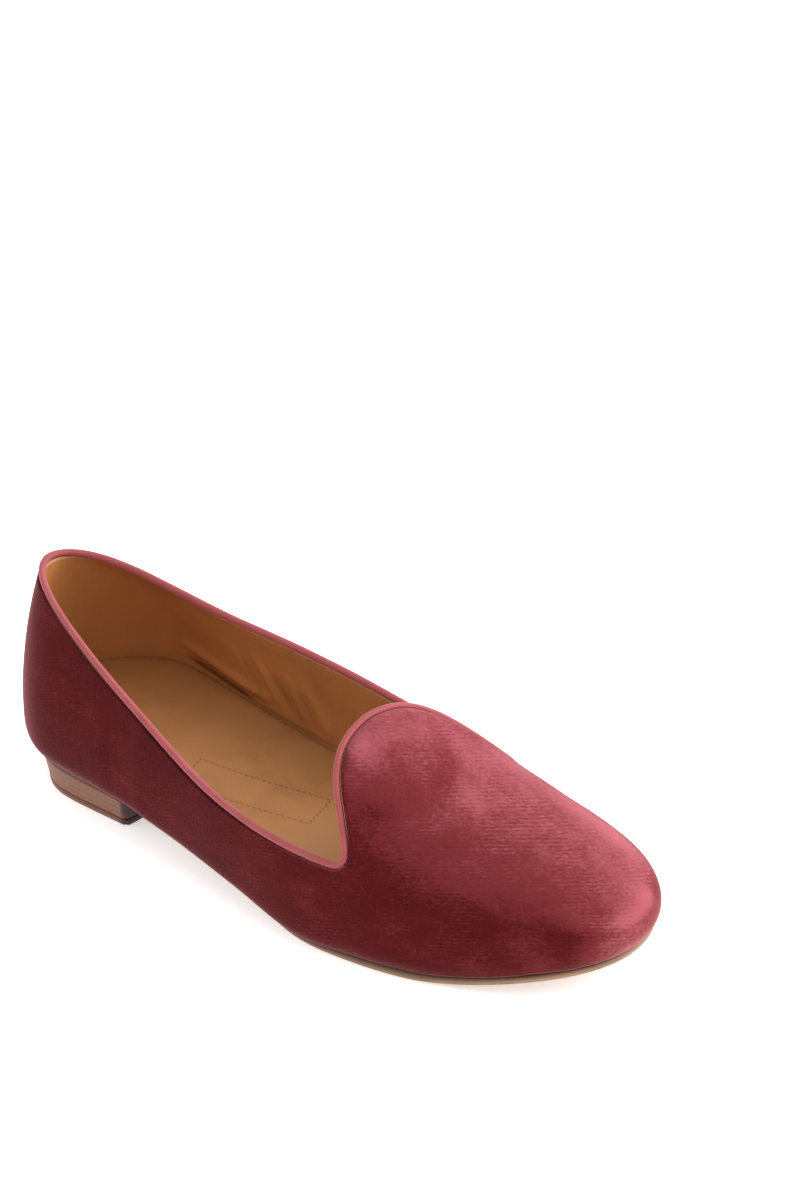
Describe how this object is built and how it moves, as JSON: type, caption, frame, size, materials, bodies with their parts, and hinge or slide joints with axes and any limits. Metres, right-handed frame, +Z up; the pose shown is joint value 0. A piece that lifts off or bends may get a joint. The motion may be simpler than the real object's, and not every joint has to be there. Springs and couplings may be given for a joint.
{
  "type": "loafer",
  "caption": "Low-heeled velvet slip-on loafer for a right foot, with a lobed vamp, a bound collar, a thin leather sole and a low stacked heel.",
  "frame": {"origin": "on the floor, in the middle of the shoe's length and width", "axes": "+X from the heel to the toe, +Y to the medial side of the right foot, +Z up"},
  "size_m": [0.252, 0.09, 0.0665],
  "materials": {
    "velvet": "short cotton-backed pile",
    "binding_fabric": "rolled ribbed tape",
    "sock_leather": "smooth lining leather",
    "sole_leather": "waxed edge, plain grain underneath",
    "heel_stack": "stacked and sanded",
    "top_piece": "matt"
  },
  "bodies": {
    "root": {"upper": "velvet", "topline_binding": "binding_fabric", "insole": "sock_leather", "outsole": "sole_leather", "heel": "heel_stack", "heel_lift": "top_piece"}
  },
  "joints": []
}
